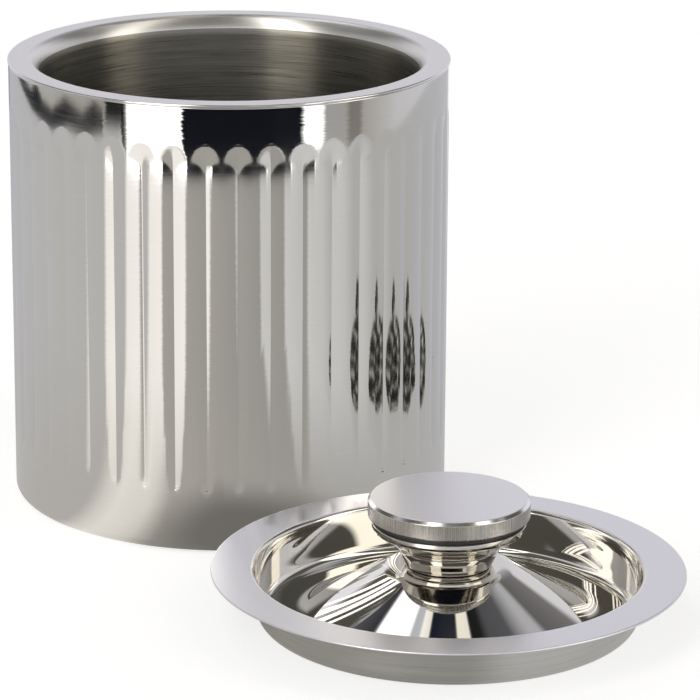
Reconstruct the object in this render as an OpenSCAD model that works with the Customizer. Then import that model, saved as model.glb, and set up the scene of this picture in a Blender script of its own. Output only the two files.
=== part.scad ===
// Double-walled steel ice bucket with its lift-off lid lying beside it.
// The bucket stands on z = 0 with its axis on the Z axis, and -Y is its front.

/* [Bucket] */
// Outer radius of the rim, the widest part of the bucket
rim_r = 75; // [65:0.5:85]
// Height of the rim above the surface the bucket stands on
bucket_h = 152; // [130:1:180]
// Thickness of the pressed steel sheet
sheet = 0.8; // [0.6:0.1:1]
// Thickness of the rim's flat ring
rim_t = 1; // [0.8:0.1:1.4]
// Width of the rim's flat ring
rim_flat_w = 7.8; // [6:0.2:9]
// Width of the slope that leads from the rim down into the liner
funnel_w = 3; // [2:0.2:4]
// Depth of that slope
funnel_d = 3.8; // [3:0.2:6]
// How far the shell stands back from the edge of the rim
shell_setback = 0.3; // [0.2:0.05:0.6]
// Thickness of the shell at the crests of its reeds
shell_t = 1.7; // [1.6:0.1:2.2]
// Rounding of the shell's bottom corner
base_round = 3; // [2:0.5:5]
// Width of the shell's turned-in bottom edge, which the bucket stands on
base_lip_w = 9; // [8:0.5:12]
// Radius of the base plate's centre, pressed down level with the shell's bottom edge
base_disc_r = 60; // [45:1:62]
// Clear height between the base plate and the liner's floor
floor_gap = 6; // [3:0.5:10]
// Rounding of the liner's bottom corner
liner_round = 8; // [6:1:14]

/* [Reeds] */
// Number of upright reeds round the shell
reed_count = 44; // [36:1:52]
// Radius of the face of each reed
reed_r = 17.5; // [13:0.5:22]
// How far the crests of the reeds lie behind the plain bands above and below them
reed_setback = 0.05; // [0.02:0.01:0.2]
// Height at which the reeds start
reed_bottom = 22; // [15:1:35]
// Distance from the rim down to the top of the reeds
reed_top_gap = 16; // [12:1:25]
// Bearing of the first groove between two reeds
reed_phase = 2.1; // [0:0.1:9]

/* [Lid] */
// Height of the lid's flange above the surface that the lid lies on
lid_h = 16.9; // [14:0.1:20]
// Radius of the well's wall at the flange
well_top_r = 61.4; // [59:0.1:62.5]
// Radius of the well's wall at its foot
well_foot_r = 59.3; // [57:0.1:61]
// Rounding where the flange turns down into the well
fold_r = 1.5; // [1:0.1:2.5]
// Rounding of the corner between the wall and the floor of the well
well_round = 3; // [2:0.5:4]
// Steepness of the raised centre
cone_angle = 31; // [25:1:35]
// Height of the raised centre above the flange
crown_h = 1.1; // [0:0.1:3]
// Radius of the flat seat on top of the raised centre
seat_r = 14.5; // [13.5:0.5:15.5]
// Rounding round that seat
crown_round = 16; // [12:1:20]
// Rounding at the foot of the raised centre
cone_foot_round = 12; // [8:1:14]
// Bearing of the lid from the bucket's front, towards the right
lid_bearing = 27; // [0:1:60]
// Clear gap between the lid's edge and the shell
lid_gap = 1.2; // [0.6:0.1:10]

/* [Knob] */
// Radius of the knob's cap
cap_r = 25.6; // [24:0.2:28]
// Height of the cap
cap_h = 5.9; // [5:0.1:8]
// Bevel round the cap's top face
cap_bevel = 1; // [0.5:0.1:1.5]
// Wall thickness of the cap
cap_t = 1; // [0.8:0.1:1.5]
// Radius of the stem's lip, just under the cap
stem_lip_r = 24.4; // [22:0.1:25]
// Height of the stem, up to the top of its lip
stem_h = 14.4; // [13:0.1:16]
// Height of the stem's lip
stem_lip_h = 1.5; // [1:0.1:2]
// Radius of the stem at its foot
stem_foot_r = 13.8; // [12.5:0.1:14.5]
// Radius of the stem where it starts to flare
flare_r = 16.8; // [15:0.2:18]
// Height of that point above the lid's seat
flare_h = 6.4; // [5:0.2:7]
// Rounding of the stem's foot
stem_foot_round = 1.4; // [1:0.1:2]
// Thickness of the groove between the stem's lip and the cap
groove_h = 1.9; // [1.5:0.1:2.5]
// Depth of that groove, from the edge of the stem's lip
groove_d = 1; // [0.6:0.1:1.5]

/* [Fastener] */
// Diameter of the screw's thread
screw_d = 5; // [4:1:6]
// Length of the screw under its head
screw_l = 14; // [11:1:16]
// Diameter of the screw's head
head_d = 9.5; // [8:0.5:10]
// Height of the screw's head
head_h = 3; // [2.5:0.1:3.5]
// Diameter of the washer
washer_d = 14; // [12:1:18]
// Thickness of the washer
washer_t = 1; // [0.8:0.1:1.6]

/* [Hidden] */
$fn = 192;
cut = 0.5;               // how far a cutter runs past the face that it cuts
ease = 0.2;              // small step that widens the outside of a fold
edge_bevel = 0.4;        // bevel round the foot of the cap
fit_gap = 0.2;           // between a round plate and the wall round it
flare_turn = 1.6;        // length of the stem's first turn outwards, in height and in radius
lip_turn = 1.4;          // the same, just under the stem's lip
base_step = 1.4;         // width of the slope round the base plate's pressed centre
plate_seat = 1.2;        // how far the knob's plate is let into the cap
head_taper = 1.6;        // how much narrower the screw's head is at its face
hex_d = 3.2;             // across the corners of the screw's socket
hex_depth = 1.6;
shell_r = rim_r - shell_setback;
shell_top = bucket_h - rim_t;
shell_in_r = shell_r - shell_t;
reed_top = bucket_h - reed_top_gap;
reed_centre_r = shell_r - reed_setback - reed_r;
base_lip_in_r = shell_r - base_lip_w;
liner_r = rim_r - rim_flat_w - funnel_w;
plate_r = shell_in_r - fit_gap;
plate_top = 2 * sheet;
liner_z = plate_top + floor_gap;
lid_dist = rim_r + shell_r + lid_gap;
lid_x = lid_dist * sin(lid_bearing);
lid_y = -lid_dist * cos(lid_bearing);
crown_z = lid_h + crown_h;
screw_hole_r = screw_d / 2 + 2 * fit_gap;
stem_lip_top = crown_z + stem_h;
knob_plate_r = stem_lip_r - groove_d;
cap_z = stem_lip_top + groove_h;
cap_top = cap_z + cap_h;

// Points of an arc from angle a0 to a1
function arc(cx, cy, r, a0, a1, steps = 8) =
    [for (i = [0 : steps]) let (a = a0 + (a1 - a0) * i / steps) [cx + r * cos(a), cy + r * sin(a)]];

// Upper side of the lid's raised centre, moved down through the sheet by d
function centre_line(d) = concat(
    arc(seat_r, crown_z - crown_round, crown_round - d, 90, 90 - cone_angle),
    arc(cone_foot_x, sheet + cone_foot_round, cone_foot_round + d, 270 - cone_angle, 270)
);
crown_end_x = seat_r + crown_round * sin(cone_angle);
crown_end_z = crown_z - crown_round * (1 - cos(cone_angle));
foot_start_z = sheet + cone_foot_round * (1 - cos(cone_angle));
foot_start_x = crown_end_x + (crown_end_z - foot_start_z) / tan(cone_angle);
cone_foot_x = foot_start_x + cone_foot_round * sin(cone_angle);

module reeds() {
    for (i = [0 : reed_count - 1])
        rotate(reed_phase - 90 + (i + 0.5) * 360 / reed_count)
            translate([reed_centre_r, 0]) circle(r = reed_r);
    circle(r = reed_centre_r);
}

module outer_shell() {
    color("gainsboro") difference() {
        union() {
            rotate_extrude() polygon(concat(
                [[0, 0]],
                arc(shell_r - base_round, base_round, base_round, -90, 0),
                [[shell_r, reed_bottom], [0, reed_bottom]]
            ));
            translate([0, 0, reed_bottom])
                linear_extrude(reed_top - reed_bottom) reeds();
            translate([0, 0, reed_top]) cylinder(r = shell_r, h = shell_top - reed_top);
        }
        translate([0, 0, sheet]) cylinder(r = shell_in_r, h = bucket_h);
        translate([0, 0, -cut]) cylinder(r = base_lip_in_r, h = sheet + 2 * cut);
    }
}

module inner_liner() {
    out_r = liner_r + sheet;
    rim_in_r = liner_r + funnel_w;
    edge = rim_t / 2;
    color("silver") rotate_extrude() polygon(concat(
        [[0, liner_z]],
        arc(out_r - liner_round, liner_z + liner_round, liner_round, -90, 0),
        [[out_r, bucket_h - funnel_d - rim_t], [rim_in_r + ease, shell_top]],
        arc(rim_r - edge, bucket_h - edge, edge, -90, 90),
        [[rim_in_r, bucket_h], [liner_r, bucket_h - funnel_d]],
        arc(out_r - liner_round, liner_z + liner_round, liner_round - sheet, 0, -90),
        [[0, liner_z + sheet]]
    ));
}

module base_plate() {
    color("silver") rotate_extrude() polygon([
        [0, 0], [base_disc_r, 0], [base_disc_r + base_step, sheet], [plate_r, sheet],
        [plate_r, plate_top], [base_disc_r + base_step - ease, plate_top],
        [base_disc_r - ease, sheet], [0, sheet]
    ]);
}

module lid_pan() {
    corner_x = well_foot_r - well_round;
    color("gainsboro") translate([lid_x, lid_y, 0]) difference() {
        rotate_extrude() polygon(concat(
            [[0, crown_z]],
            centre_line(0),
            arc(corner_x, sheet + well_round, well_round, -90, 0),
            arc(well_top_r + fold_r, lid_h - fold_r, fold_r, 180, 90),
            [[rim_r, lid_h], [rim_r, lid_h - sheet], [well_top_r + fold_r + ease, lid_h - sheet]],
            [[well_top_r + sheet, lid_h - fold_r - ease]],
            arc(corner_x, sheet + well_round, well_round + sheet, 0, -90),
            [for (p = [len(centre_line(sheet)) - 1 : -1 : 0]) centre_line(sheet)[p]],
            [[0, crown_z - sheet]]
        ));
        cylinder(r = screw_hole_r, h = cap_top);
    }
}

module knob_stem() {
    flare_z = crown_z + flare_h;
    lip_z = stem_lip_top - stem_lip_h;
    color("gainsboro") translate([lid_x, lid_y, 0]) difference() {
        rotate_extrude() polygon(concat(
            [[0, crown_z]],
            arc(stem_foot_r - stem_foot_round, crown_z + stem_foot_round, stem_foot_round, -90, 0),
            [[flare_r, flare_z], [flare_r + flare_turn, flare_z + flare_turn]],
            [[stem_lip_r - lip_turn, lip_z - lip_turn], [stem_lip_r, lip_z]],
            [[stem_lip_r, stem_lip_top], [0, stem_lip_top]]
        ));
        translate([0, 0, crown_z - cut]) cylinder(d = screw_d, h = screw_l);
    }
}

module knob_plate() {
    color("dimgray") translate([lid_x, lid_y, stem_lip_top])
        cylinder(r = knob_plate_r, h = groove_h + plate_seat);
}

module knob_cap() {
    color("silver") translate([lid_x, lid_y, cap_z]) difference() {
        rotate_extrude() polygon([
            [0, 0], [cap_r - edge_bevel, 0], [cap_r, edge_bevel], [cap_r, cap_h - cap_bevel],
            [cap_r - cap_bevel, cap_h], [0, cap_h]
        ]);
        translate([0, 0, -cut]) cylinder(r = knob_plate_r + fit_gap, h = plate_seat + cut);
        translate([0, 0, plate_seat - cut])
            cylinder(r = knob_plate_r - cap_t, h = cap_h - cap_t - plate_seat + cut);
    }
}

module lid_screw() {
    head_top = crown_z - sheet - washer_t;
    color("darkgray") translate([lid_x, lid_y, 0]) difference() {
        union() {
            translate([0, 0, head_top]) cylinder(d = screw_d, h = screw_l);
            translate([0, 0, head_top - head_h]) cylinder(d1 = head_d - head_taper, d2 = head_d, h = head_h);
        }
        translate([0, 0, head_top - head_h - cut]) cylinder(d = hex_d, h = hex_depth + cut, $fn = 6);
    }
}

module screw_washer() {
    color("darkgray") translate([lid_x, lid_y, crown_z - sheet - washer_t]) difference() {
        cylinder(d = washer_d, h = washer_t);
        translate([0, 0, -cut]) cylinder(r = screw_hole_r, h = washer_t + 2 * cut);
    }
}

outer_shell();
inner_liner();
base_plate();
lid_pan();
knob_stem();
knob_plate();
knob_cap();
lid_screw();
screw_washer();
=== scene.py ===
# Double-walled reeded steel ice bucket with its lift-off lid lying beside it.
import math
import bpy
import numpy as np
from mathutils import Matrix, Vector


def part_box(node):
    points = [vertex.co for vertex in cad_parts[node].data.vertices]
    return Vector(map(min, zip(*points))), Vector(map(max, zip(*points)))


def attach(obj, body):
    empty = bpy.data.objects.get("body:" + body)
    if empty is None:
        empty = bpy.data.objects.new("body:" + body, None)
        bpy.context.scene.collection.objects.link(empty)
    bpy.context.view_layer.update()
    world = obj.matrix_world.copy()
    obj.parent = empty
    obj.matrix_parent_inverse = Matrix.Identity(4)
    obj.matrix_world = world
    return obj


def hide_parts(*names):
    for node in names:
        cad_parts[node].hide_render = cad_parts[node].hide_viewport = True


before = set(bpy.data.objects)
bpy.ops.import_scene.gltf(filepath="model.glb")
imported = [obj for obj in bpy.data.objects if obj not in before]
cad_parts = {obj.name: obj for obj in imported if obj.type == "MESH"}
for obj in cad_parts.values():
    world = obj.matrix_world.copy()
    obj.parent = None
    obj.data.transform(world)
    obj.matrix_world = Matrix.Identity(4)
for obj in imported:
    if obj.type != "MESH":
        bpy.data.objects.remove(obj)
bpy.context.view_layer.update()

MM = 0.001


# ---------------------------------------------------------------- sizes, in mm, read from the frame


def node_box(name):
    lo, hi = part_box(name)
    return [c / MM for c in lo], [c / MM for c in hi]


shell_lo, shell_hi = node_box("outer_shell")
liner_lo, liner_hi = node_box("inner_liner")
plate_lo, plate_hi = node_box("base_plate")
pan_lo, pan_hi = node_box("lid_pan")
stem_lo, stem_hi = node_box("knob_stem")
disc_lo, disc_hi = node_box("knob_plate")
cap_lo, cap_hi = node_box("knob_cap")
screw_lo, screw_hi = node_box("lid_screw")
washer_lo, washer_hi = node_box("screw_washer")

SHELL_R = (shell_hi[0] - shell_lo[0]) / 2
SHELL_TOP = shell_hi[2]
RIM_R = (liner_hi[0] - liner_lo[0]) / 2
RIM_Z = liner_hi[2]
LINER_Z = liner_lo[2]
PAN_R = (pan_hi[0] - pan_lo[0]) / 2
LID_CENTRE = ((pan_lo[0] + pan_hi[0]) / 2 * MM, (pan_lo[1] + pan_hi[1]) / 2 * MM)
PLATE_R = (plate_hi[0] - plate_lo[0]) / 2
STEM_LIP_R = (stem_hi[0] - stem_lo[0]) / 2
STEM_TOP = stem_hi[2]
DISC_R = (disc_hi[0] - disc_lo[0]) / 2
CAP_R = (cap_hi[0] - cap_lo[0]) / 2
CAP_TOP = cap_hi[2]
HEAD_R = (screw_hi[0] - screw_lo[0]) / 2
WASHER_R = (washer_hi[0] - washer_lo[0]) / 2
CROWN_Z = stem_lo[2]
FLANGE_Z = 16.9         # top of the lid's flange
SHEET = 0.8             # thickness of all the pressed sheet

# ---------------------------------------------------------------- profiles of bodies of revolution


def path(points, closed=False, arc_step=9.0):
    """Rounds the corners of a line of (r, z, rounding) points that runs anticlockwise round a
    section. Gives the points and the outward normal at each one."""
    count = len(points)
    out, normals = [], []

    def add(p, n):
        if out and math.hypot(out[-1][0] - p[0], out[-1][1] - p[1]) < 1e-6:
            return
        out.append(p)
        normals.append(n)

    for i, (r, z, rounding) in enumerate(points):
        if not closed and i in (0, count - 1):
            other = points[1] if i == 0 else points[count - 2]
            d = (other[0] - r, other[1] - z) if i == 0 else (r - other[0], z - other[1])
            length = math.hypot(*d)
            add((r, z), (d[1] / length, -d[0] / length))
            continue
        before, after = points[i - 1], points[(i + 1) % count]
        a = (r - before[0], z - before[1])
        b = (after[0] - r, after[1] - z)
        la, lb = math.hypot(*a), math.hypot(*b)
        a, b = (a[0] / la, a[1] / la), (b[0] / lb, b[1] / lb)
        turn = math.atan2(a[0] * b[1] - a[1] * b[0], a[0] * b[0] + a[1] * b[1])
        reach = rounding * math.tan(abs(turn) / 2)
        steps = max(2, math.ceil(abs(math.degrees(turn)) / arc_step))
        side = 1 if turn > 0 else -1
        start = (r - a[0] * reach, z - a[1] * reach)
        centre = (start[0] - a[1] * side * rounding, start[1] + a[0] * side * rounding)
        for k in range(steps + 1):
            t = turn * k / steps
            c, s = math.cos(t), math.sin(t)
            normal = (a[1] * c + a[0] * s, a[1] * s - a[0] * c)
            add((centre[0] + normal[0] * side * rounding, centre[1] + normal[1] * side * rounding), normal)
    return out, normals


def mesh_object(name, verts, faces, normals, place=(0.0, 0.0)):
    """A piece from vertices in mm, with its origin at this place, in metres."""
    me = bpy.data.meshes.new(name)
    me.from_pydata((np.asarray(verts) * MM).tolist(), [], faces)
    me.validate(clean_customdata=False)
    me.shade_smooth()
    n = np.asarray(normals, dtype=float)
    n /= np.maximum(np.linalg.norm(n, axis=1, keepdims=True), 1e-9)
    me.normals_split_custom_set_from_vertices(n.tolist())
    obj = bpy.data.objects.new(name, me)
    obj.location = (place[0], place[1], 0.0)
    bpy.context.scene.collection.objects.link(obj)
    return obj


def skin(rings, closed=False):
    """Faces between rings of vertices, in the order of the section. A ring of one vertex is a point
    on the axis."""
    pairs = list(zip(rings, rings[1:]))
    if closed:
        pairs.append((rings[-1], rings[0]))
    faces = []
    for low, high in pairs:
        around = max(len(low), len(high))
        for k in range(around):
            j = (k + 1) % around
            if len(low) == 1:
                faces.append((low[0], high[j], high[k]))
            elif len(high) == 1:
                faces.append((low[k], low[j], high[0]))
            else:
                faces.append((low[k], low[j], high[j], high[k]))
    return faces


def even_rings(count, around):
    """The vertex numbers of rings that follow one another."""
    return [list(range(i * around, (i + 1) * around)) for i in range(count)]


def circle(around):
    """Angles spaced evenly round a full turn."""
    return [2 * math.pi * k / around for k in range(around)]


def revolve(name, section, closed=False, around=288, place=(0.0, 0.0)):
    """Turns a section round the vertical axis into a closed mesh with exact normals."""
    points, section_normals = section
    verts, normals, rings = [], [], []
    for (r, z), (nr, nz) in zip(points, section_normals):
        if r < 1e-6:
            rings.append([len(verts)])
            verts.append((0.0, 0.0, z))
            normals.append((0.0, 0.0, 1.0 if nz > 0 else -1.0))
            continue
        rings.append(list(range(len(verts), len(verts) + around)))
        for t in circle(around):
            c, s = math.cos(t), math.sin(t)
            verts.append((r * c, r * s, z))
            normals.append((nr * c, nr * s, nz))
    return mesh_object(name, verts, skin(rings, closed), normals, place)


# ---------------------------------------------------------------- outer shell

REEDS = 44
REED_PITCH = 2 * math.pi / REEDS
REED_PHASE = math.radians(2.1)
REED_FACE_R = 17.5      # radius of a reed's rounded face
REED_TOP = 137.6
REED_ARCH = 8.7         # height of the arch that ends a reed at the top
REED_FOOT = 21.0
REED_FOOT_ARCH = 5.0
REED_FADE = 0.38        # share of its depth that a reed loses between FADE_START and its foot
FADE_START = 70.0
REED_SOFT = 0.0022      # softness of the crease between reeds, in radians
TOP_SOFT = 0.030        # what it gains at the top, from TOP_SOFT_START below the reed's end
TOP_SOFT_START, TOP_SOFT_SPAN = 7.5, 6.0
FOOT_SOFT = 0.010       # and at the foot
FOOT_SOFT_SPAN = 5.0
EDGE_SOFT = 0.012       # softness of the edge of the pressed part
# how far up and down the sheet is drawn, and the share each step has
STRETCH = [(o, w / 16) for o, w in ((-2.0, 1), (-1.0, 4), (0.0, 6), (1.0, 4), (2.0, 1))]
BASE_ROUND = 3.0
LIP_R = 65.7            # opening in the turned-in foot
WALL_IN_R = 73.0


def smooth_step(x):
    t = np.clip(x, 0, 1)
    return t * t * (3 - 2 * t)


def pressed(phi, z):
    """Depth of the pressed grooves below the plain wall, before the ends are eased."""
    half = REED_PITCH / 2
    offset = (phi - REED_PHASE + half) % REED_PITCH - half
    ease = (REED_SOFT + TOP_SOFT * smooth_step((z - REED_TOP + TOP_SOFT_START) / TOP_SOFT_SPAN)
            + FOOT_SOFT * smooth_step((REED_FOOT + FOOT_SOFT_SPAN - z) / FOOT_SOFT_SPAN))
    from_crest = np.clip(half - (np.sqrt(offset ** 2 + ease ** 2) - 0.35 * ease), 0, None)
    centre_r = SHELL_R - REED_FACE_R
    face = centre_r * np.cos(from_crest) + np.sqrt(REED_FACE_R ** 2 - (centre_r * np.sin(from_crest)) ** 2)
    depth = SHELL_R - face
    full = SHELL_R - (centre_r * math.cos(half) + math.sqrt(REED_FACE_R ** 2 - (centre_r * math.sin(half)) ** 2))

    def arch(distance, length):
        u = np.clip(1 - distance / length, 0, 1.6)
        inside = 1 - np.sqrt(np.clip(1 - np.minimum(u, 1) ** 2, 0, 1))
        return np.where(u > 1, 1 + (u - 1) * 2, inside ** 2)

    fading = REED_FADE * np.clip((FADE_START - z) / (FADE_START - REED_FOOT), 0, 1) ** 1.6
    lift = full * (arch(REED_TOP - z, REED_ARCH) + arch(z - REED_FOOT, REED_FOOT_ARCH) + fading)
    raw = depth - lift
    return 0.5 * (raw + np.sqrt(raw ** 2 + EDGE_SOFT ** 2))


def groove_depth(phi, z):
    """The same, with the pressed ends drawn out up and down as the sheet stretches over them."""
    drawn = sum(w * pressed(phi, z + o) for o, w in STRETCH)
    return np.where((z > REED_TOP + 4) | (z < REED_FOOT - 3), 0.0, drawn)


def spread(low, high, count):
    return list(np.linspace(low, high, count))


def build_shell():
    across = [0.0, 0.02, 0.05, 0.09, 0.14, 0.22, 0.32, 0.45, 0.6, 0.78]
    unit = sorted(set([-u for u in across] + across + [1.0]))
    phi = np.array([REED_PHASE + REED_PITCH * (k + u / 2) for k in range(REEDS) for u in unit])
    columns = len(phi)
    # turned-in lip, bottom and its rounded corner
    rounding = [(LIP_R + 0.15, 0.0, 0, -1)]
    for k in range(13):
        t = math.radians(-90 + 90 * k / 12)
        c, s = math.cos(t), math.sin(t)
        rounding.append((SHELL_R - BASE_ROUND + BASE_ROUND * c, BASE_ROUND + BASE_ROUND * s, c, s))
    lower = ([(WALL_IN_R, SHELL_TOP - 0.2, -0.7, 0.7), (WALL_IN_R, SHEET + 0.3, -1, 0), (WALL_IN_R - 0.3, SHEET, 0, 1),
              (LIP_R + 0.2, SHEET, 0, 1), (LIP_R, SHEET - 0.2, -1, 0), (LIP_R, 0.2, -1, 0)] + rounding)
    heights = (spread(REED_FOOT - 3, REED_FOOT + 8, 30) + spread(31, 72, 12) + spread(80, 122, 5)
               + spread(125, REED_TOP + 3.5, 42))
    verts, normals = [], []

    def plain_rings(rows):
        for r, z, nr, nz in rows:
            for p in phi:
                verts.append((r * math.sin(p), -r * math.cos(p), z))
                normals.append((nr * math.sin(p), -nr * math.cos(p), nz))

    plain_rings(lower)
    step, angle_step = 0.02, 1e-4
    for z in heights + [SHELL_TOP - 6, SHELL_TOP - 0.35]:
        zz = np.full(columns, z)
        r = SHELL_R - groove_depth(phi, zz)
        dz = (groove_depth(phi, zz + step) - groove_depth(phi, zz - step)) / (2 * step)
        da = (groove_depth(phi + angle_step, zz) - groove_depth(phi - angle_step, zz)) / (2 * angle_step)
        for p, radius, slope, turn in zip(phi, r, dz, da):
            verts.append((radius * math.sin(p), -radius * math.cos(p), z))
            s, c = math.sin(p), math.cos(p)
            tangent = turn / radius
            normals.append((s + tangent * c, -c + tangent * s, slope))
    plain_rings([(SHELL_R - 0.1, SHELL_TOP - 0.1, 0.7, 0.7), (SHELL_R - 0.35, SHELL_TOP, 0, 1),
                 (WALL_IN_R + 0.2, SHELL_TOP, 0, 1)])
    rings = even_rings(len(verts) // columns, columns)
    return mesh_object("shell_reeded", verts, skin(rings, closed=True), normals)


shell = build_shell()

# ---------------------------------------------------------------- liner and base plate

LINER_R = 64.2
FUNNEL_W = 3.0
FUNNEL_D = 3.8
LINER_ROUND = 8.0
RIM_T = 1.0
liner = revolve("liner_brushed", path([
    (0, LINER_Z, 0),
    (LINER_R + SHEET, LINER_Z, LINER_ROUND),
    (LINER_R + SHEET, RIM_Z - FUNNEL_D - RIM_T, 1.0),
    (LINER_R + FUNNEL_W + 0.3, RIM_Z - RIM_T, 0.3),
    (RIM_R, RIM_Z - RIM_T, 0.46),
    (RIM_R, RIM_Z, 0.5),
    (LINER_R + FUNNEL_W, RIM_Z, 2.8),
    (LINER_R, RIM_Z - FUNNEL_D, 8.5),
    (LINER_R, LINER_Z + SHEET, LINER_ROUND - SHEET),
    (0, LINER_Z + SHEET, 0),
], arc_step=6.0))

BASE_DISC_R = 60.0
BASE_STEP = 1.4
base = revolve("base_plate_pressed", path([
    (0, plate_lo[2], 0),
    (BASE_DISC_R, plate_lo[2], 0.8),
    (BASE_DISC_R + BASE_STEP, plate_lo[2] + SHEET, 0.8),
    (PLATE_R, plate_lo[2] + SHEET, 0.2),
    (PLATE_R, plate_hi[2], 0.2),
    (BASE_DISC_R + BASE_STEP, plate_hi[2], 0.8),
    (BASE_DISC_R, plate_lo[2] + SHEET, 0.8),
    (0, plate_lo[2] + SHEET, 0),
]))

# ---------------------------------------------------------------- lid

WELL_TOP_R = 61.4
WELL_FOOT_R = 59.3
FOLD_R = 1.5
WELL_ROUND = 3.0
CONE = math.radians(31)
SEAT_R = 16.44
CROWN_ROUND = 9.0
FOOT_ROUND = 12.0
SCREW_HOLE_R = 2.9


def lid_section():
    apex_r = SEAT_R + CROWN_ROUND * math.tan(CONE / 2)
    foot_r = apex_r + (CROWN_Z - SHEET) / math.tan(CONE)
    under_apex = apex_r - SHEET * math.tan(CONE / 2)
    under_foot = foot_r - SHEET * math.tan(CONE / 2)
    return path([
        (SCREW_HOLE_R, CROWN_Z - SHEET, 0.1),
        (under_apex, CROWN_Z - SHEET, CROWN_ROUND - SHEET),
        (under_foot, 0, FOOT_ROUND + SHEET),
        (WELL_FOOT_R + SHEET, 0, WELL_ROUND + SHEET),
        (WELL_TOP_R + SHEET, FLANGE_Z - SHEET, FOLD_R - SHEET),
        (PAN_R, FLANGE_Z - SHEET, 0.36),
        (PAN_R, FLANGE_Z, 0.4),
        (WELL_TOP_R, FLANGE_Z, FOLD_R),
        (WELL_FOOT_R, SHEET, WELL_ROUND),
        (foot_r, SHEET, FOOT_ROUND),
        (apex_r, CROWN_Z, CROWN_ROUND),
        (SCREW_HOLE_R, CROWN_Z, 0.1),
    ], closed=True, arc_step=3.0)


lid_pan = revolve("lid_dished", lid_section(), closed=True, place=LID_CENTRE)

SCREW_R = 2.5
STEM_FOOT_R = 13.5
FLARE_R, FLARE_H = 16.9, 7.0    # where the stem turns outwards, above its foot
LIP_H = 1.3
BORE_DEPTH = 13.5
SEAM_SHADOW_H = 0.22                   # painted shadow line where the stem meets the lid
stem = revolve("knob_stem_flared", path([
    (0, CROWN_Z + BORE_DEPTH, 0),
    (SCREW_R, CROWN_Z + BORE_DEPTH, 0.1),
    (SCREW_R, CROWN_Z, 0.1),
    (STEM_FOOT_R, CROWN_Z, 1.4),
    (FLARE_R, CROWN_Z + FLARE_H, 5.5),
    (STEM_LIP_R - 0.4, STEM_TOP - LIP_H - 1.0, 0.8),
    (STEM_LIP_R, STEM_TOP - LIP_H, 0.3),
    (STEM_LIP_R, STEM_TOP, 0.3),
    (0, STEM_TOP, 0),
], arc_step=3.0), place=LID_CENTRE)

disc = revolve("knob_plate_turned", path([
    (0, disc_lo[2], 0), (DISC_R, disc_lo[2], 0.15), (DISC_R, disc_hi[2], 0.15), (0, disc_hi[2], 0),
]), place=LID_CENTRE)

CAP_BEVEL = 1.0
CAP_T = 1.0
PLATE_FIT = 0.15        # gap round the plate that is let into the cap
PLATE_GAP = 0.02        # gap over it
cap = revolve("knob_cap_satin", path([
    (0, CAP_TOP - CAP_T, 0),
    (DISC_R - CAP_T, CAP_TOP - CAP_T, 0.2),
    (DISC_R - CAP_T, disc_hi[2] + PLATE_GAP, 0.05),
    (DISC_R + PLATE_FIT, disc_hi[2] + PLATE_GAP, 0.05),
    (DISC_R + PLATE_FIT, cap_lo[2], 0.15),
    (CAP_R, cap_lo[2], 0.4),
    (CAP_R, CAP_TOP - CAP_BEVEL, 0.25),
    (CAP_R - CAP_BEVEL, CAP_TOP, 0.45),
    (0, CAP_TOP, 0),
], arc_step=6.0), place=LID_CENTRE)

HEAD_H = 3.0


def build_screw():
    """Pan head with a six-sided socket, sunk into the head's lower face."""
    socket_r, socket_depth, around = 1.6, 1.6, 96
    face_z = screw_lo[2]
    section = [(HEAD_R - 1.3, face_z, 0, -1), (HEAD_R - 0.5, face_z + 0.35, 0.5, -0.85),
               (HEAD_R, face_z + 1.1, 0.95, -0.3), (HEAD_R, face_z + HEAD_H - 0.2, 1, 0),
               (HEAD_R - 0.2, face_z + HEAD_H, 0.2, 1), (SCREW_R + 0.05, face_z + HEAD_H, 0, 1),
               (SCREW_R, face_z + HEAD_H + 0.05, 1, 0), (SCREW_R, screw_hi[2] - 0.5, 1, 0.1),
               (SCREW_R - 0.5, screw_hi[2], 0.3, 1)]

    def hexagon(t):
        return socket_r * math.cos(math.pi / 6) / math.cos((t % (math.pi / 3)) - math.pi / 6)

    verts, normals, rings = [], [], []

    def ring(radius, z, nr, nz):
        rings.append(list(range(len(verts), len(verts) + around)))
        for t in circle(around):
            r = radius(t) if callable(radius) else radius
            verts.append((r * math.cos(t), r * math.sin(t), z))
            normals.append((nr * math.cos(t), nr * math.sin(t), nz))

    verts.append((0, 0, face_z + socket_depth))
    normals.append((0, 0, -1))
    rings.append([0])
    ring(lambda t: hexagon(t) - 0.02, face_z + socket_depth, 0, -1)
    ring(hexagon, face_z + socket_depth - 0.02, -1, 0)
    ring(hexagon, face_z + 0.12, -1, 0)
    ring(lambda t: hexagon(t) + 0.12, face_z, -0.2, -1)
    for r, z, nr, nz in section:
        ring(r, z, nr, nz)
    rings.append([len(verts)])
    verts.append((0, 0, screw_hi[2]))
    normals.append((0, 0, 1))
    return mesh_object("lid_screw_head", verts, skin(rings), normals, LID_CENTRE)


screw = build_screw()

washer = revolve("washer_domed", path([
    (SCREW_HOLE_R, washer_lo[2], 0.1), (WASHER_R, washer_lo[2], 0.35),
    (WASHER_R, washer_hi[2], 0.1), (SCREW_HOLE_R, washer_hi[2], 0.1),
], closed=True), closed=True, around=128, place=LID_CENTRE)

# ---------------------------------------------------------------- materials

CLOUD_SCALE = 42.0          # slow patches in the tone, per metre
UPRIGHT_TURNS = 0.07        # fineness of upright grain round the axis, against grain_scale
UPRIGHT_CLIMB = 40.0
LINE_SCALE = 2300.0         # polishing lines per metre, and how fast one changes along itself
LINE_LENGTH_SCALE = 60.0


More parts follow.
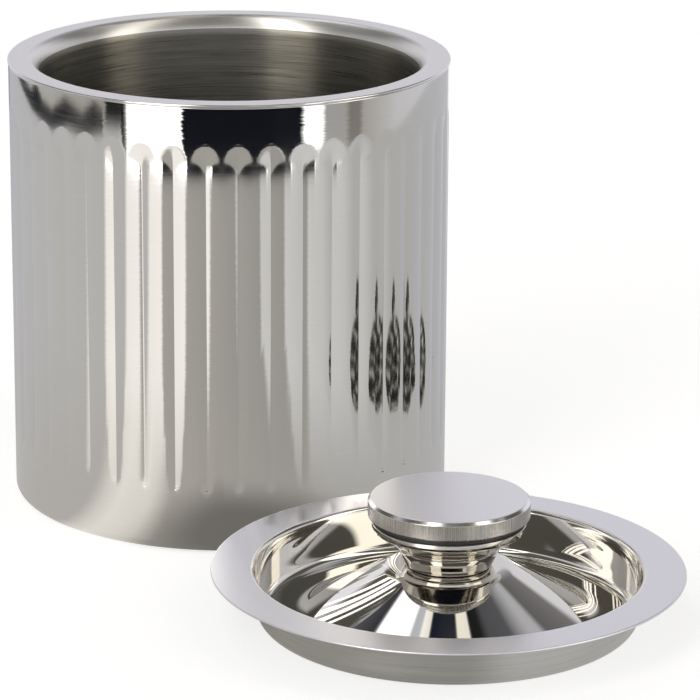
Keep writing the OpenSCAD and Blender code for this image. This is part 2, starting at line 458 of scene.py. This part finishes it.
class Nodes:
    """Short calls for making node trees."""

    def __init__(self, tree, output="ShaderNodeOutputMaterial"):
        self.tree = tree
        self.tree.nodes.clear()
        self.surface = self.add(output).inputs["Surface"]

    def add(self, kind, **values):
        node = self.tree.nodes.new(kind)
        for key, value in values.items():
            setattr(node, key, value)
        return node

    def link(self, a, b):
        self.tree.links.new(a, b)

    def put(self, socket, value):
        if hasattr(value, "is_output"):
            self.link(value, socket)
        else:
            socket.default_value = value

    def math(self, op, a, b=0.0):
        node = self.add("ShaderNodeMath", operation=op)
        for socket, value in zip(node.inputs, (a, b)):
            self.put(socket, value)
        return node.outputs[0]

    def vector(self, x, y, z):
        node = self.add("ShaderNodeCombineXYZ")
        for socket, value in zip(node.inputs, (x, y, z)):
            self.put(socket, value)
        return node.outputs[0]

    def noise(self, vector, scale=1.0, detail=2.0, rough=0.5, distortion=0.0):
        node = self.add("ShaderNodeTexNoise")
        self.link(vector, node.inputs["Vector"])
        node.inputs["Scale"].default_value = scale
        node.inputs["Detail"].default_value = detail
        node.inputs["Roughness"].default_value = rough
        node.inputs["Distortion"].default_value = distortion
        return node.outputs["Fac"]

    def span(self, value, low, high, to_low, to_high, smooth=False):
        node = self.add("ShaderNodeMapRange", clamp=True)
        if smooth:
            node.interpolation_type = "SMOOTHSTEP"
        self.put(node.inputs["Value"], value)
        node.inputs["From Min"].default_value = low
        node.inputs["From Max"].default_value = high
        self.put(node.inputs["To Min"], to_low)
        self.put(node.inputs["To Max"], to_high)
        return node.outputs["Result"]

    def ramp(self, value, stops):
        node = self.add("ShaderNodeValToRGB")
        node.color_ramp.interpolation = "LINEAR"
        elements = node.color_ramp.elements
        while len(elements) > 1:
            elements.remove(elements[-1])
        elements[0].position = stops[0][0]
        elements[0].color = (*stops[0][1], 1)
        for position, colour in stops[1:]:
            element = elements.new(position)
            element.color = (*colour, 1)
        self.put(node.inputs["Fac"], value)
        return node.outputs["Color"]

    def blend(self, factor, a, b):
        """Mixes two colours."""
        colour_a, colour_b, colour_out = 6, 7, 2
        node = self.add("ShaderNodeMix", data_type="RGBA")
        self.put(node.inputs["Factor"], factor)
        for socket, value in ((colour_a, a), (colour_b, b)):
            self.put(node.inputs[socket], value if hasattr(value, "is_output") else (*value, 1))
        return node.outputs[colour_out]

    def change(self, value, part, below, above):
        """Goes from one colour to another as value runs over this part of its range."""
        return self.blend(self.span(value, *part, 0.0, 1.0, smooth=True), below, above)

    def bump(self, height, distance, normal):
        node = self.add("ShaderNodeBump")
        node.inputs["Strength"].default_value = 1.0
        node.inputs["Distance"].default_value = distance
        self.link(height, node.inputs["Height"])
        if normal:
            self.link(normal, node.inputs["Normal"])
        return node.outputs[0]

    def polar_length(self, x, y):
        return self.math("SQRT", self.math("ADD", self.math("MULTIPLY", x, x), self.math("MULTIPLY", y, y)))

    def turned(self, x, y):
        """Azimuth as 0 to 1, with the front at 0.5 and the right beyond it."""
        azimuth = self.math("ARCTAN2", x, self.math("MULTIPLY", y, -1.0))
        return self.math("ADD", self.math("DIVIDE", azimuth, 2 * math.pi), 0.5)


def new_material(name):
    mat = bpy.data.materials.new(name)
    mat.use_nodes = True
    return mat, Nodes(mat.node_tree)


def steel(name, colour, roughness, grain, anisotropic=0.0, tint_spread=0.04, wave=None,
          grain_scale=2600.0, rough_spread=0.35, direction="ring", wander=0.0, turns=5.0):
    """Steel with a polish grain that runs round the piece's own axis (direction 'ring') or up
    and down it ('upright'). grain is the grain's share of the tone, and turns sets how short its
    lines are. wave is slow hollows in the sheet, as (scale, height in metres). wander tilts the
    surface from line to line, along the lines."""
    mat, n = new_material(name)
    bsdf = n.add("ShaderNodeBsdfPrincipled")
    n.link(bsdf.outputs["BSDF"], n.surface)
    bsdf.inputs["Metallic"].default_value = 1.0
    coords = n.add("ShaderNodeTexCoord").outputs["Object"]
    split = n.add("ShaderNodeSeparateXYZ")
    n.link(coords, split.inputs[0])
    x, y, z = split.outputs
    radius = n.polar_length(x, y)
    safe = n.math("MAXIMUM", radius, 1e-4)
    cos_a, sin_a = n.math("DIVIDE", x, safe), n.math("DIVIDE", y, safe)
    if direction == "ring":
        climb = n.math("ADD", n.math("MULTIPLY", z, grain_scale), n.math("MULTIPLY", radius, grain_scale))
    else:
        turns = grain_scale * UPRIGHT_TURNS
        climb = n.math("MULTIPLY", n.math("ADD", z, radius), UPRIGHT_CLIMB)
    fine = n.vector(n.math("MULTIPLY", cos_a, turns), n.math("MULTIPLY", sin_a, turns), climb)
    streak = n.noise(fine, 1.0, 3.0, 0.6)
    cloud = n.noise(coords, CLOUD_SCALE, 4.0, 0.55)
    tone = n.math("ADD", n.math("MULTIPLY", streak, grain), n.math("MULTIPLY", cloud, 1.0 - grain))
    low = tuple(max(c * (1 - tint_spread), 0) for c in colour)
    high = tuple(min(c * (1 + tint_spread), 1) for c in colour)
    n.link(n.blend(n.span(tone, 0.3, 0.7, 0.0, 1.0), low, high), bsdf.inputs["Base Color"])
    rough = n.span(tone, 0.25, 0.75, roughness * (1 - rough_spread), roughness * (1 + rough_spread))
    n.link(rough, bsdf.inputs["Roughness"])
    if anisotropic:
        bsdf.inputs["Anisotropic"].default_value = anisotropic
        tangent = n.add("ShaderNodeTangent", direction_type="RADIAL", axis="Z")
        n.link(tangent.outputs[0], bsdf.inputs["Tangent"])
        bsdf.inputs["Anisotropic Rotation"].default_value = 0.0 if direction == "upright" else 0.25
    normal = None
    if wander:
        along = n.add("ShaderNodeTangent", direction_type="RADIAL", axis="Z").outputs[0]
        lines = n.noise(n.vector(n.math("MULTIPLY", x, LINE_LENGTH_SCALE), n.math("MULTIPLY", y, LINE_LENGTH_SCALE),
                                 n.math("MULTIPLY", n.math("ADD", z, radius), LINE_SCALE)), 1.0, 2.0, 0.6)
        push = n.add("ShaderNodeVectorMath", operation="SCALE")
        n.link(along, push.inputs[0])
        n.link(n.math("MULTIPLY", n.math("SUBTRACT", lines, 0.5), wander), push.inputs["Scale"])
        total = n.add("ShaderNodeVectorMath", operation="ADD")
        n.link(n.add("ShaderNodeNewGeometry").outputs["Normal"], total.inputs[0])
        n.link(push.outputs[0], total.inputs[1])
        unit = n.add("ShaderNodeVectorMath", operation="NORMALIZE")
        n.link(total.outputs[0], unit.inputs[0])
        normal = unit.outputs[0]
    if wave:
        scale, height = wave
        normal = n.bump(n.noise(coords, scale, 1.0, 0.4), height, normal)
    if normal:
        n.link(normal, bsdf.inputs["Normal"])
    return mat


polished = steel("polished_steel", (0.80, 0.79, 0.78), 0.045, 0.6, anisotropic=0.8, tint_spread=0.02,
                 wave=(16.0, 0.00012), wander=0.038)
# painted shade: the liner's brushed steel is darkened for the shade inside the bucket
liner_shaded_steel = steel("brushed_steel", (0.315, 0.30, 0.26), 0.31, 0.88, anisotropic=0.94, tint_spread=0.28,
                grain_scale=2100.0, rough_spread=0.2, wander=0.06, turns=2.4)
# painted light: a lighter copy of the same brushed finish, for where the funnel faces up
funnel_painted_light_steel = steel("funnel_painted_light_steel", (0.76, 0.75, 0.73), 0.34, 0.8, anisotropic=0.6, tint_spread=0.05,
                     grain_scale=2000.0, rough_spread=0.2)
rim_satin = steel("rim_satin", (0.77, 0.765, 0.775), 0.28, 0.7, tint_spread=0.012, rough_spread=0.05)
plain = steel("plain_steel", (0.58, 0.58, 0.57), 0.35, 0.4, tint_spread=0.08)
# painted shadow: near-black steel that stands for the shade in the seam at the stem's foot and in the groove under the
# cap
painted_seam_shadow = steel("painted_seam_shadow", (0.10, 0.10, 0.10), 0.5, 0.4, tint_spread=0.2)
lid_mirror = steel("lid_steel", (0.71, 0.695, 0.665), 0.035, 0.5, tint_spread=0.02, wave=(14.0, 0.00008))
lid_satin = steel("lid_satin", (0.94, 0.935, 0.98), 0.36, 0.7, tint_spread=0.010, rough_spread=0.04)
lid_skirt = steel("lid_skirt", (0.60, 0.595, 0.58), 0.30, 0.85, anisotropic=0.7, tint_spread=0.09,
                  grain_scale=1800.0, rough_spread=0.15, turns=1.5)
knob_mirror = steel("knob_steel", (0.62, 0.595, 0.545), 0.04, 0.6, tint_spread=0.02)
cap_satin = steel("cap_satin", (0.93, 0.925, 0.96), 0.32, 0.3, tint_spread=0.012, rough_spread=0.10)
cap_edge = steel("cap_edge", (0.52, 0.50, 0.465), 0.24, 0.9, anisotropic=0.35, tint_spread=0.24,
                 direction="upright", grain_scale=1300.0, rough_spread=0.3, wander=0.10)
cap_bright = steel("cap_bright", (0.82, 0.815, 0.81), 0.16, 0.6, tint_spread=0.02)
screw_zinc = steel("screw_steel", (0.52, 0.52, 0.50), 0.34, 0.4, tint_spread=0.1)


def dress(obj, materials, rule, body, nodes):
    """Gives each face the material that rule(r, z, normal) picks, and ties the piece to the frame."""
    me = obj.data
    for m in materials:
        me.materials.append(m)
    if len(materials) > 1:
        for poly in me.polygons:
            c = poly.center / MM
            poly.material_index = rule(math.hypot(c.x, c.y), c.z, poly.normal)
    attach(obj, body)
    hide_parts(*nodes)


# picks the rim and edge finishes, and the painted-shade and painted-light copies of the brushed steel inside
def liner_finish_and_painted_light(r, z, normal):
    if r > LINER_R + FUNNEL_W + 0.9:
        return 3 if r > RIM_R - 0.25 else 1
    return 2 if z > RIM_Z - FUNNEL_D - 0.2 else 0


def lid_finish(r, z, normal):
    if r > WELL_TOP_R + 0.6 and z > FLANGE_Z - 0.6:
        return 1
    return 2 if normal.z < -0.02 or r > WELL_TOP_R + 0.7 else 0


# the stem's lowest strip takes the painted seam shadow, the rest its mirror finish
def stem_finish_and_seam_shadow(r, z, normal):
    return 1 if z < CROWN_Z + SEAM_SHADOW_H else 0


def cap_finish(r, z, normal):
    if z > CAP_TOP - 0.2:
        return 0
    return 2 if z > CAP_TOP - CAP_BEVEL - 0.1 else 1


dress(shell, [polished], None, "bucket", ["outer_shell"])
dress(liner, [liner_shaded_steel, rim_satin, funnel_painted_light_steel, polished], liner_finish_and_painted_light, "bucket", ["inner_liner"])
dress(base, [plain], None, "bucket", ["base_plate"])
dress(lid_pan, [lid_mirror, lid_satin, lid_skirt], lid_finish, "lid", ["lid_pan"])
dress(stem, [knob_mirror, painted_seam_shadow], stem_finish_and_seam_shadow, "lid", ["knob_stem"])
# the knob plate is all painted shadow: the shade in the groove between cap and stem
dress(disc, [painted_seam_shadow], None, "lid", ["knob_plate"])
dress(cap, [cap_satin, cap_edge, cap_bright], cap_finish, "lid", ["knob_cap"])
dress(screw, [screw_zinc], None, "lid", ["lid_screw"])
dress(washer, [screw_zinc], None, "lid", ["screw_washer"])

# ---------------------------------------------------------------- studio

WALL_R = SHELL_R * MM
EYE = Vector((0.0, -1.2492, 0.4265))
# height on the wall, in mm, where the table's far edge shows, by angle round the wall in degrees:
# 0 is the front and + the right
TABLE_EDGE = [
    (-88, 172), (-78, 160), (-67, 148), (-61, 142.5), (-57, 140.5), (-51, 138.5), (-45, 140.5),
    (-39, 138.5), (-33, 141), (-32.4, 143), (-28, 143), (-27.4, 133), (-20, 130), (-12.6, 129),
    (-12, 128), (0, 127.5), (12, 128.5), (19, 129), (19.8, 136), (24.5, 138), (26, 135), (40, 135),
    (50, 141), (60, 150), (75, 160), (88, 172),
]
# how far the dark beyond that edge reaches, in the same terms
SMEAR = [
    (-76, 1.0), (-67, 4.0), (-61, 6.0), (-58, 10.5), (-55, 6.5), (-51, 6.0), (-46, 9.0), (-40, 7.0),
    (-36, 10.5), (-33.2, 7.0),
]
TABLE_BACK = 0.9
FLOOR_REACH = 30.0
FLOOR_Z = -0.0003
DOME_R = 25.0
PALE = (0.97, 0.97, 0.972)


def plain_object(name, verts, faces, material):
    me = bpy.data.meshes.new(name)
    me.from_pydata(verts, [], faces)
    me.materials.append(material)
    obj = bpy.data.objects.new(name, me)
    bpy.context.scene.collection.objects.link(obj)
    return obj


def mirrored(name, verts, faces, material):
    """A piece of the studio that only shows in reflections."""
    obj = plain_object(name, verts, faces, material)
    obj.visible_camera = obj.visible_diffuse = obj.visible_shadow = False


def card(name, outline, z, material):
    """A flat card that only shows in reflections."""
    mirrored(name, [(p[0], p[1], z) for p in outline], [tuple(range(len(outline)))], material)


def emitter(name, colour=None):
    """A material that only glows, in one colour or in what is linked to its colour later."""
    mat, n = new_material(name)
    emission = n.add("ShaderNodeEmission")
    if colour:
        emission.inputs["Color"].default_value = (*colour, 1)
    n.link(emission.outputs[0], n.surface)
    return mat, n, emission


pale, n = new_material("floor_pale")
matt = n.add("ShaderNodeBsdfDiffuse")
matt.inputs["Color"].default_value = (0.5, 0.5, 0.5, 1)
lit = n.add("ShaderNodeEmission")
lit.inputs["Color"].default_value = (*PALE, 1)
lit.inputs["Strength"].default_value = 0.72
both = n.add("ShaderNodeAddShader")
n.link(matt.outputs[0], both.inputs[0])
n.link(lit.outputs[0], both.inputs[1])
n.link(both.outputs[0], n.surface)
floor = plain_object("floor", [(x * FLOOR_REACH, y * FLOOR_REACH, FLOOR_Z)
                               for x, y in ((-1, -1), (1, -1), (1, 1), (-1, 1))], [(0, 1, 2, 3)], pale)
floor.visible_glossy = False


def seen_from_wall(theta, height):
    """Where on the table the plain wall at this angle and height reflects, seen from the camera."""
    normal = Vector((math.sin(math.radians(theta)), -math.cos(math.radians(theta)), 0))
    spot = normal * WALL_R + Vector((0, 0, height * MM))
    ray = (spot - EYE).normalized()
    ray -= normal * (2 * ray.dot(normal))
    return spot + ray * (spot.z / -ray.z)


def level(table, theta):
    return float(np.interp(theta, [t for t, _ in table], [v for _, v in table]))


def stops(table, start=-180, span=360, scale=1.0):
    """Ramp stops from a table of (value, colour), where the value runs over span from start."""
    return [((v - start) / span, tuple(c / scale for c in colour)) for v, colour in table]


# glow of the table as seen from the bucket, with its light and shade painted in: the bright stretches are painted
# reflections of bright lights in the table. Azimuth 0 is towards the front, + to the right
TABLE_NEAR = [
    (-180, (0.62, 0.62, 0.66)), (-172, (0.60, 0.60, 0.64)), (-168, (0.38, 0.38, 0.40)), (-160, (0.38, 0.38, 0.40)),
    (-156, (0.50, 0.50, 0.54)), (-150, (0.51, 0.515, 0.55)), (-125, (0.52, 0.52, 0.53)), (-100, (0.53, 0.52, 0.505)),
    (-54, (0.52, 0.50, 0.475)), (-48, (0.76, 0.73, 0.67)), (-42, (0.90, 0.87, 0.80)), (-30, (0.80, 0.77, 0.70)),
    (-22, (0.46, 0.44, 0.40)), (18, (0.40, 0.385, 0.36)), (30, (0.46, 0.45, 0.43)), (60, (0.49, 0.48, 0.465)),
    (95, (0.50, 0.495, 0.49)), (130, (0.51, 0.51, 0.54)), (154, (0.54, 0.54, 0.57)), (158, (0.92, 0.92, 0.95)),
    (170, (0.92, 0.92, 0.95)), (174, (0.62, 0.62, 0.66)), (180, (0.62, 0.62, 0.66)),
]
TABLE_FAR = [
    (-180, (0.66, 0.66, 0.70)), (-172, (0.62, 0.62, 0.66)), (-168, (0.34, 0.34, 0.36)), (-160, (0.34, 0.34, 0.36)),
    (-156, (0.50, 0.50, 0.54)), (-150, (0.52, 0.525, 0.56)), (-125, (0.55, 0.55, 0.56)), (-100, (0.56, 0.555, 0.55)),
    (-56, (0.55, 0.54, 0.52)), (-50, (1.05, 1.02, 0.96)), (-28, (1.08, 1.05, 0.99)), (-24, (0.44, 0.425, 0.39)),
    (20, (0.38, 0.37, 0.345)), (24, (0.70, 0.69, 0.67)), (52, (0.64, 0.635, 0.62)), (74, (0.50, 0.495, 0.48)),
    (95, (0.50, 0.495, 0.49)), (130, (0.52, 0.52, 0.55)), (154, (0.56, 0.56, 0.59)), (158, (1.0, 1.0, 1.03)),
    (170, (1.0, 1.0, 1.03)), (174, (0.66, 0.66, 0.70)), (180, (0.66, 0.66, 0.70)),
]
NEAR_TO_FAR = (0.10, 0.30)      # distances from the bucket's axis, in metres
FOOT_SHADE = (0.006, -0.096)    # middle of the shade in front of the bucket
FOOT_SHADE_SPAN = (0.020, 0.066)
FOOT_SHADE_DEPTH = 0.62
FOOT_SHADE_COLOUR = (0.04, 0.037, 0.033)
LOOK_FALL = 3.3                 # how far out the wall's view runs for each metre it falls


def ground_point(n):
    """The spot on the table behind this point, for something that looks out from the bucket's axis."""
    split = n.add("ShaderNodeSeparateXYZ")
    n.link(n.add("ShaderNodeTexCoord").outputs["Object"], split.inputs[0])
    x, y, z = split.outputs
    beyond = n.math("DIVIDE", n.math("MULTIPLY", z, LOOK_FALL), n.math("MAXIMUM", n.polar_length(x, y), 0.01))
    stretch = n.math("ADD", beyond, 1.0)
    return n.math("MULTIPLY", x, stretch), n.math("MULTIPLY", y, stretch)


def paint_table(n, emission):
    x, y = ground_point(n)
    turned = n.turned(x, y)
    near = n.ramp(turned, stops(TABLE_NEAR))
    far = n.ramp(turned, stops(TABLE_FAR))
    both = n.change(n.polar_length(x, y), NEAR_TO_FAR, near, far)
    from_shade = n.polar_length(n.math("SUBTRACT", x, FOOT_SHADE[0]), n.math("SUBTRACT", y, FOOT_SHADE[1]))
    shade = n.span(from_shade, *FOOT_SHADE_SPAN, FOOT_SHADE_DEPTH, 0.0, smooth=True)
    n.link(n.blend(shade, both, FOOT_SHADE_COLOUR), emission.inputs["Color"])


# the table card glows with painted light, shade and reflections, as does the cover below
top, n, emission = emitter("table_painted_glow")
paint_table(n, emission)
outline = [seen_from_wall(t, level(TABLE_EDGE, t)) for t in np.arange(-88, 88.01, 0.4)]
outline += [Vector((TABLE_BACK, TABLE_BACK, 0)), Vector((-TABLE_BACK, TABLE_BACK, 0))]
card("table_top", outline, -0.0001, top)

# a cover over the resting lid, painted like the table outside and clear from inside: it keeps the
# lid's reflection out of the bucket's wall
cover, n, emission = emitter("lid_cover_painted_glow")
paint_table(n, emission)
sides = n.add("ShaderNodeMixShader")
n.link(n.add("ShaderNodeNewGeometry").outputs["Backfacing"], sides.inputs[0])
n.link(emission.outputs[0], sides.inputs[1])
n.link(n.add("ShaderNodeBsdfTransparent").outputs[0], sides.inputs[2])
n.link(sides.outputs[0], n.surface)
COVER = [(PAN_R + 0.3, 0.2), (PAN_R + 0.3, FLANGE_Z + 0.4), (CAP_R + 0.8, CAP_TOP + 0.6)]
COVER_SIDES = 96
verts = [(LID_CENTRE[0] + r * MM * math.cos(t), LID_CENTRE[1] + r * MM * math.sin(t), z * MM)
         for r, z in COVER for t in circle(COVER_SIDES)]
rings = even_rings(len(COVER), COVER_SIDES)
mirrored("lid_cover", verts, skin(rings) + [tuple(rings[-1])], cover)

dark, _, _ = emitter("table_edge_dark", (0.012, 0.013, 0.016))
angles = np.arange(-76, -33.1, 0.4)
inner = [seen_from_wall(t, level(TABLE_EDGE, t) - 0.6) for t in angles]
outer = [seen_from_wall(t, level(TABLE_EDGE, t) + level(SMEAR, t)) for t in angles]
card("table_edge", inner + outer[::-1], 0.0002, dark)

# dark mottled ovals off to the right, which the wall shows as a row of dark marks
oval_dark, n, emission = emitter("oval_card_dark")
mottle = n.add("ShaderNodeMapping")
mottle.inputs["Scale"].default_value = (70.0, 26.0, 1.0)
n.link(n.add("ShaderNodeTexCoord").outputs["Object"], mottle.inputs["Vector"])
n.link(n.ramp(n.noise(mottle.outputs[0], 1.0, 2.5, 0.6, 0.6), [
    (0.0, (0.010, 0.010, 0.010)), (0.47, (0.016, 0.016, 0.015)), (0.53, (0.10, 0.10, 0.09)),
    (0.60, (0.30, 0.29, 0.25)), (0.68, (0.60, 0.58, 0.52)),
]), emission.inputs["Color"])
OVAL_SIDES = 72
for name, (cx, cy), (rx, ry), z in (("oval_card", (0.246, -0.036), (0.064, 0.088), 0.0004),
                                    ("oval_card_tip", (0.316, -0.046), (0.046, 0.026), 0.0006)):
    card(name, [(cx + rx * math.cos(t), cy + ry * math.sin(t)) for t in circle(OVAL_SIDES)], z, oval_dark)

# backdrop: a dome seen by the camera only
DOME_SIDES, DOME_STEPS = 64, 16
verts = []
for i in range(DOME_STEPS + 1):
    e = math.radians(-4 + 94 * i / DOME_STEPS)
    for a in circle(DOME_SIDES):
        verts.append((DOME_R * math.cos(e) * math.cos(a), DOME_R * math.cos(e) * math.sin(a), DOME_R * math.sin(e)))
backdrop = plain_object("backdrop", verts, skin(even_rings(DOME_STEPS + 1, DOME_SIDES)),
                        emitter("backdrop_pale", PALE)[0])
backdrop.visible_diffuse = backdrop.visible_glossy = backdrop.visible_shadow = False

# the room that the steel reflects, painted by direction. In the first three tables azimuth 0 is
# towards the front and + to the right. CEILING goes by the sideways part of the direction.
ROOM = [
    (-180, (0.84, 0.83, 0.87)), (-150, (0.80, 0.80, 0.83)), (-130, (0.62, 0.62, 0.62)),
    (-112, (0.50, 0.48, 0.45)), (-68, (0.42, 0.40, 0.36)), (-66, (0.008, 0.008, 0.010)),
    (-55, (0.008, 0.008, 0.010)), (-54, (2.3, 2.27, 2.15)), (-25.5, (2.6, 2.55, 2.45)),
    (-24, (0.006, 0.007, 0.011)), (37.5, (0.006, 0.007, 0.011)), (39, (2.1, 2.1, 2.05)),
    (48, (2.1, 2.1, 2.05)), (50, (0.40, 0.40, 0.39)), (62, (0.40, 0.39, 0.37)), (65, (0.22, 0.21, 0.19)),
    (71, (0.24, 0.22, 0.20)), (73, (0.42, 0.40, 0.37)),
    (96, (0.62, 0.61, 0.62)), (130, (0.70, 0.70, 0.73)), (180, (0.84, 0.83, 0.87)),
]
UPPER_ROOM = [
    (-180, (0.78, 0.77, 0.81)), (-140, (0.82, 0.81, 0.85)), (-115, (0.60, 0.595, 0.61)), (-70, (0.66, 0.65, 0.66)),
    (-56, (0.80, 0.79, 0.78)), (-53, (2.7, 2.65, 2.5)), (-27, (2.7, 2.65, 2.5)), (-23, (1.3, 1.31, 1.38)),
    (58, (1.2, 1.21, 1.28)), (62, (2.1, 2.0, 1.85)), (80, (2.1, 2.0, 1.85)), (84, (0.55, 0.54, 0.54)),
    (115, (0.74, 0.74, 0.77)), (140, (0.86, 0.85, 0.89)), (180, (0.78, 0.77, 0.81)),
]
HIGH_ROOM = [
    (-180, (0.60, 0.59, 0.62)), (-150, (0.26, 0.25, 0.26)), (-125, (0.10, 0.10, 0.09)), (-78, (0.12, 0.115, 0.10)),
    (-56, (0.14, 0.13, 0.11)), (-52, (2.8, 2.75, 2.6)), (-26, (2.8, 2.75, 2.6)), (-22, (0.15, 0.14, 0.12)),
    (58, (0.14, 0.13, 0.11)), (62, (2.0, 1.9, 1.7)), (80, (2.0, 1.9, 1.7)), (84, (0.12, 0.115, 0.10)),
    (125, (0.10, 0.10, 0.09)), (150, (0.26, 0.25, 0.26)), (180, (0.60, 0.59, 0.62)),
]
CEILING = [
    (-1.0, (0.60, 0.60, 0.64)), (-0.50, (0.50, 0.50, 0.53)), (-0.465, (0.10, 0.10, 0.115)),
    (-0.415, (0.035, 0.035, 0.045)), (-0.405, (1.7, 1.7, 1.75)), (-0.25, (1.6, 1.6, 1.65)),
    (-0.235, (0.62, 0.64, 0.70)), (-0.185, (0.66, 0.67, 0.72)), (-0.175, (1.3, 1.27, 1.2)),
    (-0.125, (1.1, 1.05, 0.95)), (-0.115, (0.015, 0.018, 0.032)), (0.07, (0.012, 0.014, 0.028)),
    (0.085, (1.2, 1.15, 1.0)), (0.165, (1.1, 1.05, 0.95)), (0.18, (0.012, 0.012, 0.014)),
    (0.25, (0.02, 0.02, 0.022)), (0.30, (0.10, 0.10, 0.11)), (0.42, (0.12, 0.12, 0.13)), (0.50, (0.55, 0.55, 0.58)),
    (1.0, (0.60, 0.60, 0.62)),
]

ZENITH = (0.30, 0.285, 0.255)
SCALE = 4.0             # the tables are divided by this and the world's strength multiplied by it
# heights of the direction over which one part of the room gives way to the next
WALLS_END, UPPER_END, HIGH_END, ZENITH_START = (0.0, 0.08), (0.34, 0.44), (0.66, 0.72), (0.93, 0.97)
CEILING_START = (0.0, 0.14)     # overhead, the ceiling begins this far towards the back

world = bpy.data.worlds.new("studio")
bpy.context.scene.world = world
world.use_nodes = True
n = Nodes(world.node_tree, "ShaderNodeOutputWorld")
background = n.add("ShaderNodeBackground")
n.link(background.outputs[0], n.surface)
split = n.add("ShaderNodeSeparateXYZ")
n.link(n.add("ShaderNodeTexCoord").outputs["Generated"], split.inputs[0])
dx, dy, dz = split.outputs
turned = n.turned(dx, dy)
walls, upper, high = (n.ramp(turned, stops(table, scale=SCALE)) for table in (ROOM, UPPER_ROOM, HIGH_ROOM))
ceiling = n.ramp(n.math("ADD", n.math("MULTIPLY", dx, 0.5), 0.5), stops(CEILING, -1, 2, SCALE))
zenith = n.change(dz, ZENITH_START, high, tuple(c / SCALE for c in ZENITH))
overhead = n.change(dy, CEILING_START, zenith, ceiling)
low_part = n.change(dz, WALLS_END, walls, upper)
high_part = n.change(dz, UPPER_END, low_part, high)
n.link(n.change(dz, HIGH_END, high_part, overhead), background.inputs["Color"])
background.inputs["Strength"].default_value = SCALE

# ---------------------------------------------------------------- camera

cam = bpy.data.cameras.new("camera")
cam.lens = 193.6
cam.sensor_width = 36.0
camera = bpy.data.objects.new("camera", cam)
bpy.context.scene.collection.objects.link(camera)
bpy.context.scene.camera = camera
YAW, PITCH, ROLL = math.radians(1.9025), math.radians(16.866), math.radians(0.373)
forward = Vector((math.sin(YAW) * math.cos(PITCH), math.cos(YAW) * math.cos(PITCH), -math.sin(PITCH)))
right = Vector((math.cos(YAW), -math.sin(YAW), 0))
up = right.cross(forward)
right, up = (right * math.cos(ROLL) + up * math.sin(ROLL), up * math.cos(ROLL) - right * math.sin(ROLL))
turn = Matrix((right, up, -forward)).transposed()
camera.location = EYE
camera.rotation_mode = "QUATERNION"
camera.rotation_quaternion = turn.to_quaternion()
cam.clip_start, cam.clip_end = 0.05, 60.0

scene = bpy.context.scene
scene.view_settings.view_transform = "Standard"
scene.view_settings.look = "None"
scene.cycles.max_bounces = 12
scene.cycles.glossy_bounces = 10
scene.cycles.use_denoising = True
